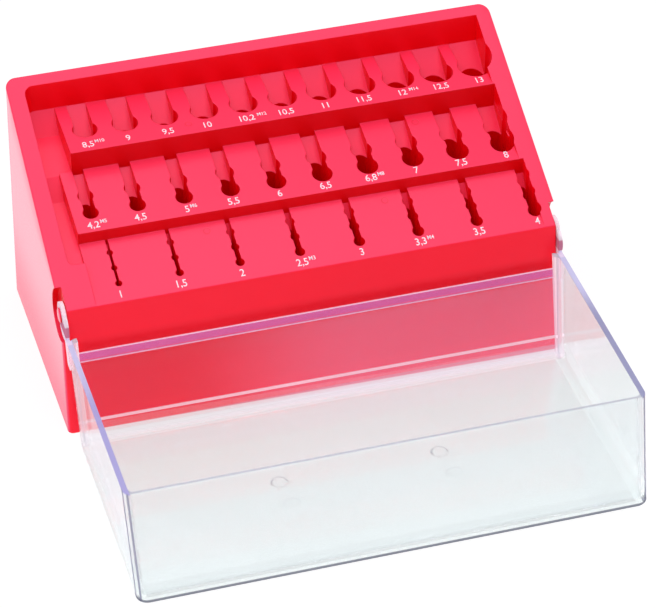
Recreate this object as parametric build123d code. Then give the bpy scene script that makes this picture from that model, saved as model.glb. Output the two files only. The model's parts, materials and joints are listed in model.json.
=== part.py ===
from build123d import *
import math
import os

# Drill bit case: a moulded housing with a sloping stepped deck, and a clear lid hinged at its front.
# X runs across the case, +Y to its back, +Z up. The origin is the centre of the open case's footprint.
# The lid is modelled open, lying upside down in front of the housing with its panel on the table.

# Housing, outside
RIM_WIDTH = 228.0
BACK_HEIGHT = 115.0
FRONT_HEIGHT = 62.0
SIDE_DRAFT = 1.8
FRONT_DRAFT = 7.2
BACK_DRAFT = 0.8
WALL = 2.4
BACK_CORNER_RADIUS = 5.0
FRONT_CORNER_RADIUS = 2.5
TOP_EDGE_ROUND = 0.8

# Pocket in the deck
BACK_RIM = 5.7
LEFT_RIM = 7.6
BACK_ROW_RIGHT_RIM = 9.6
MIDDLE_ROW_RIGHT_RIM = 8.7
FRONT_ROW_RIGHT_RIM = 7.2
POCKET_CORNER_RADIUS = 4.0
GUTTER_WIDTH = 13.4
FIRST_TREAD_INSET = 5.8
GUTTER_RAMP = 8.8
GUTTER_FALL = 0.2
GUTTER_STEP = 1.4
GUTTER_END_SETBACK = 19.5
GUTTER_END_DROP = 5.6
GUTTER_END_RADIUS = 3.0

# Treads: depth from each riser to the nosing in front of it, and height of the riser
BACK_TREAD_DEPTH = 33.5
BACK_RISER_HEIGHT = 13.6
MIDDLE_TREAD_DEPTH = 36.3
MIDDLE_RISER_HEIGHT = 9.6
FRONT_TREAD_DEPTH = 32.5
FRONT_RISER_HEIGHT = 5.5
DECK_SKIN = 2.4
RISER_SKIRT = 4.8

# Drill sockets
BACK_ROW_SIZES = (8.5, 9.0, 9.5, 10.0, 10.2, 10.5, 11.0, 11.5, 12.0, 12.5, 13.0)
MIDDLE_ROW_SIZES = (4.2, 4.5, 5.0, 5.5, 6.0, 6.5, 6.8, 7.0, 7.5, 8.0)
FRONT_ROW_SIZES = (1.0, 1.5, 2.0, 2.5, 3.0, 3.3, 3.5, 4.0)
BACK_ROW_SHANKS = (117.0, 125.0, 125.0, 133.0, 133.0, 133.0, 142.0, 142.0, 151.0, 151.0, 151.0)
MIDDLE_ROW_SHANKS = (75.0, 80.0, 86.0, 93.0, 93.0, 101.0, 109.0, 109.0, 109.0, 117.0)
FRONT_ROW_SHANKS = (34.0, 40.0, 49.0, 57.0, 61.0, 65.0, 70.0, 75.0)
BACK_ROW_FIRST_INSET = 30.9
BACK_ROW_LAST_INSET = 13.6
BACK_ROW_BORE_SETBACK = 15.0
MIDDLE_ROW_FIRST_INSET = 23.5
MIDDLE_ROW_LAST_INSET = 13.3
MIDDLE_ROW_BORE_SETBACK = 10.9
FRONT_ROW_FIRST_INSET = 27.5
FRONT_ROW_LAST_INSET = 8.9
FRONT_ROW_BORE_SETBACK = 9.5
BORE_CLEARANCE = 2.9
SMALL_BORE_CLEARANCE = 2.1
BACK_CHANNEL_CLEARANCE = 0.4
MIDDLE_CHANNEL_CLEARANCE = 0.8
FRONT_CHANNEL_CLEARANCE = 0.2
BACK_RAMP = (0.0, 0.78)
MIDDLE_RAMP = (2.4, 0.7)
FRONT_RAMP = (2.3, 1.25)
MIDDLE_SCALLOP_STEP = 10.0
MIDDLE_NECK_SHARE = 0.75
FRONT_SCALLOP_STEP = 8.1
REAR_SCALLOP_SHARE = 0.9
SUNK_SHARE = 0.62
SOCKET_WALL = 1.2
RACK_MARGIN = 0.4
RACK_FRONT_STRIP = 3.8
RIB_THICKNESS = 1.6
RIB_DEPTH = 16.0

# Lid
LID_DEPTH = 49.8
LID_WALL = 2.4
LID_SIDE_DRAFT = 1.2
LID_NEAR_LEAN = 10.8
LID_FAR_LEAN = 12.4
LID_CORNER_RADIUS = 5.0
LID_PANEL_ROUND = 1.6
LID_INNER_ROUND = 0.8
LID_REST_GAP = 0.3
NEAR_WALL_OFFSET = 8.9
NEAR_WALL_DROP = 7.0
NEAR_WALL_BEVEL_HEIGHT = 4.9
NEAR_WALL_BEVEL_DEPTH = 1.7
CORNER_POST_WIDTH = 4.8
PIP_RADIUS = 3.5
PIP_HEIGHT = 0.6
PIP_SPACING = 72.6
PIP_FROM_PIVOT = 73.0

# Hinge
PIVOT_SETBACK = 4.9
EAR_RADIUS = 6.0
EAR_LOBE_RADIUS = 6.3
EAR_THICKNESS = 1.7
EAR_SIDE_GAP = 0.4
EAR_CLEARANCE = 0.8
CHEEK_FRONT_GAP = 0.4
CHEEK_DEPTH = 14.0
CHEEK_WIDTH = 9.0
PIN_RADIUS = 2.0
PIN_RUNNING_CLEARANCE = 0.08
PIN_LENGTH_IN_BOSS = 1.9
PIN_HEAD_RADIUS = 3.4
PIN_HEAD_THICKNESS = 1.0
PIN_HEAD_GAP = 0.15

# Worked out from the sizes above
MIDDLE_RISER = BACK_RIM + BACK_TREAD_DEPTH
FRONT_RISER = MIDDLE_RISER + MIDDLE_TREAD_DEPTH
TOP_DEPTH = FRONT_RISER + FRONT_TREAD_DEPTH
FOOT_DEPTH = TOP_DEPTH + FRONT_DRAFT + BACK_DRAFT
GUTTER_LENGTH = TOP_DEPTH - GUTTER_END_SETBACK
POCKET_LEFT_X = -RIM_WIDTH / 2 + LEFT_RIM
LID_HALF_WIDTH = RIM_WIDTH / 2
PIVOT_DISTANCE = TOP_DEPTH - PIVOT_SETBACK
SLOPE = math.atan2(BACK_HEIGHT - FRONT_HEIGHT, TOP_DEPTH)


def top_z(distance):
    """Height of the sloping top plane at this distance from the housing's back top edge."""
    return BACK_HEIGHT - distance * math.tan(SLOPE)


RIM_TO_PIVOT = ((top_z(PIVOT_DISTANCE) - LID_DEPTH) * math.cos(SLOPE) + LID_REST_GAP) / (1 + math.cos(SLOPE))
PIVOT_Z = LID_DEPTH + RIM_TO_PIVOT
LID_REACH = PIVOT_DISTANCE * math.cos(SLOPE) + (BACK_HEIGHT - PIVOT_Z) * math.sin(SLOPE)
OPEN_DEPTH = BACK_DRAFT + PIVOT_DISTANCE + LID_REACH + LID_FAR_LEAN
BACK_EDGE_Y = OPEN_DEPTH / 2 - BACK_DRAFT


def y_at(distance):
    """Y of a point that lies this far in front of the housing's back top edge."""
    return BACK_EDGE_Y - distance


def yz_prism(points, x_low, x_high):
    """Prism along X between two planes, from (distance from the back edge, height) points."""
    corners = [(x_low, y_at(distance), height) for distance, height in points]
    face = Face(Wire.make_polygon([Vector(*corner) for corner in corners], close=True))
    return Solid.extrude(face, Vector(x_high - x_low, 0, 0))


def side_disc(radius, centre, x_low, x_high):
    """Cylinder along X between two planes."""
    plane = Plane(origin=(x_low, centre[0], centre[1]), x_dir=(0, 1, 0), z_dir=(1, 0, 0))
    return extrude(plane * Circle(radius), amount=x_high - x_low)


class Row:
    """One row of sockets on its own tread, between the riser behind it and its nosing in front."""

    def __init__(self, drills, insets, bore_setback, riser, drop, front, right_rim):
        self.sizes, self.shanks = drills
        self.first_x = insets[0] - RIM_WIDTH / 2
        self.pitch = (RIM_WIDTH - sum(insets)) / (len(self.sizes) - 1)
        self.bore_distance = front - bore_setback
        self.riser = riser
        self.drop = drop
        self.front = front
        self.right_wall_x = RIM_WIDTH / 2 - right_rim

    def shape_sockets(self, bore_clearance, channel_clearance, ramp):
        self.bore_clearance = bore_clearance
        self.channel_clearance = channel_clearance
        self.ramp_start, self.ramp_slope = ramp

    def tread_z(self, distance):
        back_z = top_z(self.riser) - self.drop
        share = (distance - self.riser) / (self.front - self.riser)
        return back_z + share * (top_z(self.front) - back_z)

    def sockets(self):
        for index, size in enumerate(self.sizes):
            yield size, self.first_x + index * self.pitch

    def bore_radius(self, size):
        return (size + self.bore_clearance) / 2

    def half_channel(self, size):
        return (size + self.channel_clearance) / 2

    def floor_z(self, size):
        return self.tread_z(self.bore_distance) - SUNK_SHARE * self.shanks[self.sizes.index(size)]

    def ramp_z(self, distance):
        return self.tread_z(self.riser) - self.ramp_start - self.ramp_slope * (distance - self.riser)

    def left_x(self):
        inset = FIRST_TREAD_INSET if self.riser == BACK_RIM else 0.0
        return POCKET_LEFT_X + GUTTER_WIDTH - FIRST_TREAD_INSET + inset

    def right_x(self):
        last_size, last_x = list(self.sockets())[-1]
        return last_x + self.bore_radius(last_size) + SOCKET_WALL + RACK_MARGIN

    def region(self):
        """Upright box, seen from above, that one rack is cut out of the moulding by."""
        front = min(self.front, TOP_DEPTH - RACK_FRONT_STRIP)
        low = -WALL
        return yz_prism([(self.riser, low), (front, low), (front, BACK_HEIGHT + WALL),
                         (self.riser, BACK_HEIGHT + WALL)], self.left_x(), self.right_x())


BACK_ROW = Row((BACK_ROW_SIZES, BACK_ROW_SHANKS), (BACK_ROW_FIRST_INSET, BACK_ROW_LAST_INSET),
               BACK_ROW_BORE_SETBACK, BACK_RIM, BACK_RISER_HEIGHT, MIDDLE_RISER, BACK_ROW_RIGHT_RIM)
MIDDLE_ROW = Row((MIDDLE_ROW_SIZES, MIDDLE_ROW_SHANKS), (MIDDLE_ROW_FIRST_INSET, MIDDLE_ROW_LAST_INSET),
                 MIDDLE_ROW_BORE_SETBACK, MIDDLE_RISER, MIDDLE_RISER_HEIGHT, FRONT_RISER,
                 MIDDLE_ROW_RIGHT_RIM)
FRONT_ROW = Row((FRONT_ROW_SIZES, FRONT_ROW_SHANKS), (FRONT_ROW_FIRST_INSET, FRONT_ROW_LAST_INSET),
                FRONT_ROW_BORE_SETBACK, FRONT_RISER, FRONT_RISER_HEIGHT, TOP_DEPTH, FRONT_ROW_RIGHT_RIM)
BACK_ROW.shape_sockets(BORE_CLEARANCE, BACK_CHANNEL_CLEARANCE, BACK_RAMP)
MIDDLE_ROW.shape_sockets(BORE_CLEARANCE, MIDDLE_CHANNEL_CLEARANCE, MIDDLE_RAMP)
FRONT_ROW.shape_sockets(SMALL_BORE_CLEARANCE, FRONT_CHANNEL_CLEARANCE, FRONT_RAMP)
ROWS = (BACK_ROW, MIDDLE_ROW, FRONT_ROW)


def front_face_distance(height):
    """Distance of the housing's front face from the back top edge, at one height."""
    return TOP_DEPTH + FRONT_DRAFT * (1 - height / FRONT_HEIGHT)


PIVOT_Y = y_at(PIVOT_DISTANCE)
PIVOT = (PIVOT_Y, PIVOT_Z)
EAR_OUTER_X = LID_HALF_WIDTH
EAR_INNER_X = EAR_OUTER_X - EAR_THICKNESS
RECESS_X = EAR_INNER_X - EAR_SIDE_GAP
CHEEK_TOP_DISTANCE = front_face_distance(LID_DEPTH) + CHEEK_FRONT_GAP
LOBE_FORWARD = (CHEEK_TOP_DISTANCE - PIVOT_DISTANCE) / 2
LOBE_DOWN = RIM_TO_PIVOT / 2
RECESS_RADIUS = math.hypot(LOBE_FORWARD, LOBE_DOWN) + EAR_LOBE_RADIUS + EAR_CLEARANCE


def housing_section(height, inset):
    """Rounded plan outline of the housing at one height, drawn in by an inset."""
    share = height / BACK_HEIGHT
    half_width = RIM_WIDTH / 2 + SIDE_DRAFT * (1 - share) - inset
    front = y_at(front_face_distance(height)) + inset
    back = y_at(-BACK_DRAFT * (1 - share)) - inset
    outline = Polygon((-half_width, front), (half_width, front), (half_width, back), (-half_width, back),
                      align=None)
    corners = outline.vertices().sort_by(Axis.Y)
    outline = fillet(corners[2:], max(BACK_CORNER_RADIUS - inset, 0.5))
    corners = outline.vertices().sort_by(Axis.Y)[:2]
    outline = fillet(corners, max(FRONT_CORNER_RADIUS - inset, 0.5))
    return Pos(0, 0, height) * outline


def outer_body():
    """The housing's outside as one block, cut off along the sloping top plane."""
    block = loft([housing_section(0, 0), housing_section(BACK_HEIGHT, 0)])
    above = yz_prism([(-BACK_RIM, top_z(-BACK_RIM)), (RIM_WIDTH, top_z(RIM_WIDTH)), (RIM_WIDTH, RIM_WIDTH),
                      (-BACK_RIM, RIM_WIDTH)], -RIM_WIDTH, RIM_WIDTH)
    block = block - above
    top_face = block.faces().sort_by(Axis.Z)[-1]
    return fillet(top_face.edges(), TOP_EDGE_ROUND)


def gutter_floor():
    """Line of the gutter's floor: a ramp beside each riser, then a gentle fall beside the tread."""
    line = [(BACK_RIM, BACK_ROW.tread_z(BACK_RIM))]
    for row, next_row in ((BACK_ROW, MIDDLE_ROW), (MIDDLE_ROW, FRONT_ROW)):
        end_z = next_row.tread_z(next_row.riser) - GUTTER_STEP
        ramp_foot = row.riser + GUTTER_RAMP
        line += [(ramp_foot, end_z + GUTTER_FALL * (row.front - ramp_foot)), (row.front, end_z)]
    return line + [(GUTTER_LENGTH, top_z(GUTTER_LENGTH) - GUTTER_END_DROP)]


def inner_core():
    """The space inside the walls and under the deck, with each riser's skirt left standing."""
    core = loft([housing_section(0, WALL), housing_section(BACK_HEIGHT, WALL)])
    spaces = []
    for row, next_row in ((BACK_ROW, MIDDLE_ROW), (MIDDLE_ROW, FRONT_ROW), (FRONT_ROW, None)):
        back = -WALL if row is BACK_ROW else row.riser
        points = [(back, -WALL), (back, row.tread_z(row.riser) - DECK_SKIN)]
        if row is BACK_ROW:
            points.append((row.riser, row.tread_z(row.riser) - DECK_SKIN))
        if next_row is None:
            points += [(row.front, row.tread_z(row.front) - DECK_SKIN),
                       (FOOT_DEPTH, row.tread_z(row.front) - DECK_SKIN), (FOOT_DEPTH, -WALL)]
        else:
            wall_back = row.front - DECK_SKIN
            skirt_z = next_row.tread_z(row.front) - RISER_SKIRT
            points += [(wall_back, row.tread_z(wall_back) - DECK_SKIN), (wall_back, skirt_z),
                       (row.front, skirt_z), (row.front, -WALL)]
        spaces.append(yz_prism(points, row.left_x() + DECK_SKIN, RIM_WIDTH))
    left_band = [(-WALL, BACK_ROW.tread_z(BACK_RIM) - DECK_SKIN)]
    left_band += [(distance, height - DECK_SKIN) for distance, height in gutter_floor()]
    left_band += [(FOOT_DEPTH, top_z(FOOT_DEPTH) - 2 * DECK_SKIN), (FOOT_DEPTH, -WALL),
                  (-WALL, -WALL)]
    spaces.append(yz_prism(left_band, -RIM_WIDTH, BACK_ROW.left_x() + DECK_SKIN))
    under = spaces[0] + spaces[1:]
    return core & under


def tread_cuts():
    """Space above the three treads, up to the top plane."""
    cuts = []
    for row in ROWS:
        points = [(row.riser, row.tread_z(row.riser)), (row.front, row.tread_z(row.front)),
                  (row.riser, top_z(row.riser) + WALL)]
        cuts.append(yz_prism(points, row.left_x(), row.right_wall_x))
    return cuts


def gutter_cut():
    """Narrow gutter along the left rim, beside the ends of the treads."""
    right = BACK_ROW.left_x()
    plan = Pos((POCKET_LEFT_X + right) / 2, y_at((BACK_RIM + GUTTER_LENGTH) / 2)) * Rectangle(
        right - POCKET_LEFT_X, GUTTER_LENGTH - BACK_RIM)
    plan = fillet(plan.vertices().sort_by(Axis.Y)[:2], GUTTER_END_RADIUS)
    plan = fillet(plan.vertices().sort_by(Axis.Y)[-2:].sort_by(Axis.X)[:1], POCKET_CORNER_RADIUS)
    column = extrude(plan, amount=BACK_HEIGHT + WALL)
    band = gutter_floor() + [(GUTTER_LENGTH, BACK_HEIGHT), (BACK_RIM, BACK_HEIGHT)]
    return column & yz_prism(band, -RIM_WIDTH, 0)


def rack_fill():
    """Blocks that stand up out of the gutter to carry the treads."""
    blocks = []
    for row in ROWS:
        points = [(row.riser, row.tread_z(row.riser)), (row.front, row.tread_z(row.front)),
                  (row.front, 0), (row.riser, 0)]
        blocks.append(yz_prism(points, row.left_x(), row.right_wall_x))
    return blocks


def scallops(row):
    """How far behind the bore each rear scallop of a socket lies."""
    if row is MIDDLE_ROW:
        return (MIDDLE_SCALLOP_STEP,)
    if row is FRONT_ROW:
        return (FRONT_SCALLOP_STEP, 2 * FRONT_SCALLOP_STEP)
    return ()


def deep_length(row):
    """Length of a socket's deep part, from its bore's axis to that of its last scallop."""
    return max(scallops(row), default=0.0)


def deep_outline(row, size):
    """Plan of the part of a socket that goes deep: the bore, its scallops and the necks between them."""
    radius = row.bore_radius(size)
    outline = Circle(radius)
    if row is BACK_ROW:
        return outline
    share = REAR_SCALLOP_SHARE if row is FRONT_ROW else 1.0
    half_neck = row.half_channel(size) if row is FRONT_ROW else radius * MIDDLE_NECK_SHARE
    outline = outline + Pos(0, deep_length(row) / 2) * Rectangle(2 * half_neck, deep_length(row))
    return outline + [Pos(0, step) * Circle(radius * share) for step in scallops(row)]


def socket_cut(row, size, x):
    """Everything that is hollow in one socket."""
    place = Pos(x, y_at(row.bore_distance), 0)
    top = BACK_HEIGHT + WALL
    end = row.bore_distance - deep_length(row)
    half = row.half_channel(size)
    channel = yz_prism([(row.riser, row.ramp_z(row.riser)), (end, row.ramp_z(end)), (end, top),
                        (row.riser, top)], x - half, x + half)
    bottom = row.floor_z(size)
    return channel + extrude(Pos(0, 0, bottom) * place * deep_outline(row, size), amount=top - bottom)


def socket_body(row, size, x):
    """Tube and trough that hang under the deck round one socket."""
    radius = row.bore_radius(size) + SOCKET_WALL
    length = deep_length(row)
    plan = Circle(radius)
    if length:
        plan = plan + Pos(0, length) * Circle(radius) + Pos(0, length / 2) * Rectangle(2 * radius, length)
    bottom = row.floor_z(size) - SOCKET_WALL
    place = Pos(x, y_at(row.bore_distance), bottom)
    tube = extrude(place * plan, amount=BACK_HEIGHT - bottom)
    end = row.bore_distance - length
    half = row.half_channel(size) + SOCKET_WALL
    trough = yz_prism([(row.riser, row.ramp_z(row.riser) - SOCKET_WALL),
                       (end, row.ramp_z(end) - SOCKET_WALL), (end, BACK_HEIGHT), (row.riser, BACK_HEIGHT)],
                      x - half, x + half)
    return tube + trough


def under_tread(row):
    """Space under one tread that its sockets and its rib are kept to."""
    front = min(row.front, TOP_DEPTH - RACK_FRONT_STRIP)
    points = [(row.riser, -WALL), (row.riser, row.tread_z(row.riser) - DECK_SKIN / 2),
              (front, row.tread_z(front) - DECK_SKIN / 2), (front, -WALL)]
    return yz_prism(points, row.left_x(), row.right_x())


def stiffening_rib(row):
    """Rib under one tread, joining its sockets."""
    middle = row.bore_distance
    top = row.tread_z(middle)
    return yz_prism([(middle - RIB_THICKNESS / 2, top), (middle + RIB_THICKNESS / 2, top),
                     (middle + RIB_THICKNESS / 2, top - RIB_DEPTH),
                     (middle - RIB_THICKNESS / 2, top - RIB_DEPTH)], row.left_x(), row.right_x())


def ear_recess():
    """Round recess in the housing's right cheek, for the lid's ear."""
    return side_disc(RECESS_RADIUS, PIVOT, RECESS_X, RIM_WIDTH)


def hinge_seat():
    """Thickened wall behind the right recess, with the boss that holds the pin."""
    return side_disc(RECESS_RADIUS + WALL / 2, PIVOT, RECESS_X - PIN_LENGTH_IN_BOSS, RECESS_X + WALL / 2)


def pin_hole():
    """Hole that the right pin is pressed into."""
    return side_disc(PIN_RADIUS, PIVOT, RECESS_X - PIN_LENGTH_IN_BOSS - WALL, RIM_WIDTH)


def moulding_without_sockets():
    """The housing's walls, rim, gutter and treads, before the sockets are added."""
    body = outer_body()
    fills = [block & body for block in rack_fill()]
    return (body - gutter_cut() + fills) - tread_cuts() - inner_core()


def rack(row, moulding):
    """One row of sockets with its tread, cut out of the moulding."""
    block = moulding & row.region()
    keep = under_tread(row)
    hanging = [piece & keep for piece in [stiffening_rib(row)]
               + [socket_body(row, size, x) for size, x in row.sockets()]]
    return block + hanging - [socket_cut(row, size, x) for size, x in row.sockets()]


def housing_shell(moulding):
    """The moulding without its three racks, with the seats for the hinge pins."""
    shell = moulding - [row.region() for row in ROWS]
    seat = hinge_seat() & outer_body()
    cuts = [ear_recess(), pin_hole()]
    shell = shell + [seat, mirror(seat, about=Plane.YZ)]
    return shell - cuts - [mirror(cut, about=Plane.YZ) for cut in cuts]


def lid_section(height, inset):
    """Rounded plan outline of the lid at one height above its panel, with the lid open."""
    share = 1 - height / LID_DEPTH
    half_width = LID_HALF_WIDTH - LID_SIDE_DRAFT * share - inset
    near = PIVOT_Y - NEAR_WALL_OFFSET - LID_NEAR_LEAN * share - inset
    far = PIVOT_Y - LID_REACH - LID_FAR_LEAN * share + inset
    plan = Pos(0, (near + far) / 2) * RectangleRounded(2 * half_width, near - far, LID_CORNER_RADIUS - inset)
    return Pos(0, 0, height) * plan


def near_wall_cut():
    """Space over the near wall, which stops short of the rim and is bevelled on its inside."""
    top = LID_DEPTH - NEAR_WALL_DROP
    bevel_foot = top - NEAR_WALL_BEVEL_HEIGHT
    half = LID_HALF_WIDTH - CORNER_POST_WIDTH
    share = NEAR_WALL_DROP / LID_DEPTH
    outer = PIVOT_DISTANCE + NEAR_WALL_OFFSET + LID_NEAR_LEAN * share
    inner = outer + LID_WALL
    edge = inner - NEAR_WALL_BEVEL_DEPTH
    lean = LID_NEAR_LEAN * NEAR_WALL_BEVEL_HEIGHT / LID_DEPTH
    points = [(PIVOT_DISTANCE - WALL, top), (edge, top), (inner + lean, bevel_foot),
              (inner + LID_WALL, bevel_foot), (inner + LID_WALL, LID_DEPTH + WALL),
              (PIVOT_DISTANCE - WALL, LID_DEPTH + WALL)]
    return yz_prism(points, -half, half)


def ear_outline():
    """Profile of a hinge ear with the lid open: a disc on the pivot and a lobe half way to the cheek."""
    plane = Plane(origin=(0, 0, 0), x_dir=(0, 1, 0), z_dir=(1, 0, 0))
    lobe = (PIVOT_Y - LOBE_FORWARD, PIVOT_Z - LOBE_DOWN)
    discs = Pos(*PIVOT) * Circle(EAR_RADIUS) + Pos(*lobe) * Circle(EAR_LOBE_RADIUS)
    return plane * discs


def ear():
    """Right hinge ear, and the cheek that joins it to the lid's side wall."""
    foot = LID_DEPTH - CHEEK_DEPTH
    near_foot = front_face_distance(foot) + CHEEK_FRONT_GAP
    cheek = yz_prism([(CHEEK_TOP_DISTANCE, LID_DEPTH), (near_foot, foot),
                      (near_foot + CHEEK_WIDTH / 2, foot), (CHEEK_TOP_DISTANCE + CHEEK_WIDTH, LID_DEPTH)],
                     EAR_INNER_X, EAR_OUTER_X)
    plate = extrude(Pos(EAR_INNER_X, 0, 0) * ear_outline(), amount=EAR_THICKNESS)
    return plate + cheek


def side_slab():
    """Everything inside the drafted outer faces of the lid's side walls."""
    half_top = LID_HALF_WIDTH
    half_foot = LID_HALF_WIDTH - LID_SIDE_DRAFT
    corners = [(-half_foot, 0), (half_foot, 0), (half_top, LID_DEPTH), (half_top, BACK_HEIGHT),
               (-half_top, BACK_HEIGHT), (-half_top, LID_DEPTH)]
    outline = Face(Wire.make_polygon([Vector(x, -RIM_WIDTH * 2, z) for x, z in corners], close=True))
    return Solid.extrude(outline, Vector(0, RIM_WIDTH * 4, 0))


def lid():
    outside = loft([lid_section(0, 0), lid_section(LID_DEPTH, 0)])
    bottom = outside.faces().sort_by(Axis.Z)[0]
    outside = fillet(bottom.edges(), LID_PANEL_ROUND)
    inside = loft([lid_section(LID_WALL, LID_WALL), lid_section(LID_DEPTH, LID_WALL)])
    floor = inside.faces().sort_by(Axis.Z)[0]
    inside = fillet(floor.edges(), LID_INNER_ROUND)
    shell = outside - inside - near_wall_cut()
    right_ear = ear() & side_slab()
    ears = [right_ear, mirror(right_ear, about=Plane.YZ)]
    pips = [Pos(side * PIP_SPACING / 2, PIVOT_Y - PIP_FROM_PIVOT, LID_WALL / 2)
            * Cylinder(PIP_RADIUS, LID_WALL / 2 + PIP_HEIGHT, align=(Align.CENTER, Align.CENTER, Align.MIN))
            for side in (-1, 1)]
    shell = shell + ears + pips
    hole = side_disc(PIN_RADIUS + PIN_RUNNING_CLEARANCE, PIVOT, EAR_INNER_X - 1, EAR_OUTER_X + 1)
    return shell - [hole, mirror(hole, about=Plane.YZ)]


def hinge_pin():
    """Right hinge pin, pressed into the housing's boss, with a flat head outside the ear."""
    head_x = EAR_OUTER_X + PIN_HEAD_GAP
    shank = side_disc(PIN_RADIUS, PIVOT, RECESS_X - PIN_LENGTH_IN_BOSS, head_x)
    head = side_disc(PIN_HEAD_RADIUS, PIVOT, head_x, head_x + PIN_HEAD_THICKNESS)
    return shank + head


def main():
    os.makedirs("parts", exist_ok=True)
    right_pin = hinge_pin()
    moulding = moulding_without_sockets()
    nodes = {
        "housing_shell": housing_shell(moulding),
        "rack_back_row": rack(BACK_ROW, moulding),
        "rack_middle_row": rack(MIDDLE_ROW, moulding),
        "rack_front_row": rack(FRONT_ROW, moulding),
        "lid": lid(),
        "hinge_pin_right": right_pin,
        "hinge_pin_left": mirror(right_pin, about=Plane.YZ),
    }
    for name, shape in nodes.items():
        export_step(shape, f"parts/{name}.step")


main()
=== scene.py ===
import json
import math
from typing import NamedTuple

import bmesh
import bpy
from bpy.props import FloatProperty, FloatVectorProperty, PointerProperty
from mathutils import Matrix, Vector


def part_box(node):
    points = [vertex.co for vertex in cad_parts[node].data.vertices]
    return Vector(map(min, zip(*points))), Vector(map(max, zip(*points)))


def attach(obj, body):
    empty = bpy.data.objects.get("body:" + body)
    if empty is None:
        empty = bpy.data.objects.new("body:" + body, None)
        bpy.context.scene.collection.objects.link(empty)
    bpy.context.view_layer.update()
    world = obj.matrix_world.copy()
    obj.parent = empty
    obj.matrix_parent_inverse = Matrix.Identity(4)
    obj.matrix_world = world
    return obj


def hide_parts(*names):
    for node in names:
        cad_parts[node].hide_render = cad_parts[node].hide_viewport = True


bl_info = {
    "name": "Drill bit case",
    "version": (1, 0, 0),
    "blender": (4, 5, 0),
    "location": "View3D > Sidebar > Drill case",
    "description": "Dresses a packed drill bit case: red moulded housing, clear lid, printed sizes and stage",
    "category": "Object",
}

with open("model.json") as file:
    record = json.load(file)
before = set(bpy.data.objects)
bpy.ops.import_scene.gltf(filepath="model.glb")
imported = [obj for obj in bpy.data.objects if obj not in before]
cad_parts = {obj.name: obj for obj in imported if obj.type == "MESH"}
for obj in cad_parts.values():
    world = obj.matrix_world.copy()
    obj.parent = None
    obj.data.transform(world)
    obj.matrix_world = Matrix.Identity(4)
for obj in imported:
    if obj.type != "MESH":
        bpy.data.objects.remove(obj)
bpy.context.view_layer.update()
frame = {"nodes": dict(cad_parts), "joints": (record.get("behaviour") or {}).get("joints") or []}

# All lengths are in metres. The frame's middle lies halfway between the housing's back and the foot of the
# open lid's far wall, before that foot's edge is rounded.
HOUSING_LOW, HOUSING_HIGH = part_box("housing_shell")
BACK_DRAFT = 0.0008
BACK_EDGE_Y = HOUSING_HIGH.y - BACK_DRAFT
HOUSING_FOOT_Y = HOUSING_LOW.y
PIVOT = Vector(frame["joints"][0]["pos_m"])
HOUSING_NODES = ("housing_shell", "rack_back_row", "rack_middle_row", "rack_front_row")
WELD_DISTANCE = 1e-6
CREASE_ANGLE = math.radians(25)

# Two values of a mask are where it is still zero and where it is one. Four values are a band: it is zero at
# the first, one from the second to the third, and zero again at the fourth.

# Housing: painted sheen on the outer side faces, painted shade on the risers, painted light on the front
# face, and the painted shadow of the open lid on the front face
OUTER_SIDE_X = (0.1135, 0.1139)
FACING_UP = (0.20, 0.66)
FACING_SIDE = (0.6, 0.9)
FACING_FRONT = (-0.60, -0.85)
RISER_Y = (0.0095, 0.0115, 0.095, 0.100)
FRONT_FACE_Y = (0.0095, 0.0090)
SHADED_FACE_Y = (0.0090, 0.0085)
SHADE_Z = (0.020, 0.040, 0.0440, 0.0480)
SHADE_SHARE = 0.35

# Housing's plastic; its side faces have more gloss, which grows with height
PLASTIC_IOR = 1.5
SPECULAR_TINT = (0.95, 0.7, 1.0)
SPECULAR_LEVEL = 0.30
SIDE_SPECULAR_GAIN = 0.15
COAT_ROUGHNESS = 0.2
SIDE_GLOSS_Z = (0.0, 0.055)
SIDE_GLOSS = 0.08
SIDE_GLOSS_GAIN = 0.58
ROUGHNESS_SPREAD = (-0.02, 0.03)
DEEPER_SHADE = 0.96
GRAIN_HEIGHT = 0.00002
GRAIN_STRENGTH = 0.04
EDGE_SAMPLES = 8

# Textures: scale and detail, and how far their values usually spread
FLOW_NOISE = (24.0, 3.0)
GRAIN_NOISE = (1400.0, 4.0)
SCUFF_NOISE = (420.0, 8.0)
WEAR_NOISE = (700.0, 5.0)
FIBRE_NOISE = (300.0, 4.0)
NOISE_SPREAD = (0.3, 0.7)

# Faint round marks that the mould's ejectors left on the treads: x and distance forward from the back edge,
# then their disc and the ring at its edge, by distance from the middle
EJECTOR_MARKS = ((-0.0373, 0.0323), (0.0659, 0.0439), (-0.0418, 0.0799), (0.0405, 0.0799))
EJECTOR_RADIUS = 0.0017
EJECTOR_DEPTH = 0.00006
EJECTOR_DISC = (EJECTOR_RADIUS + 0.0002, EJECTOR_RADIUS - 0.0002)
EJECTOR_RING = (EJECTOR_RADIUS - 0.0007, EJECTOR_RADIUS - 0.0003)

# Lid, as it lies open
LID_HALF_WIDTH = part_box("lid")[1].x
LID_WALL = 0.0024
LID_RIM_Z = 0.0498
LID_SIDE_DRAFT = 0.0012
LID_FAR_LEAN = 0.0124
LID_NEAR_LEAN = 0.0108
LID_FAR_FOOT_Y = -HOUSING_HIGH.y
LID_FAR_RIM_Y = LID_FAR_FOOT_Y + LID_FAR_LEAN
LID_NEAR_FOOT_Y = PIVOT.y - 0.0197
NEAR_WALL_TOP_Z = 0.0428
NEAR_WALL_BEVEL_FOOT_Z = 0.0393
NEAR_WALL_HALF_WIDTH = 0.1092
EAR_LOWEST_Z = 0.0358

# Lid's plastic
CLEAR_IOR = 1.49
SCUFFS = (0.60, 0.75)
SCUFF_ROUGHNESS = 0.12
SHADOW_TINT = (0.95, 0.95, 0.96)
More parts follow.
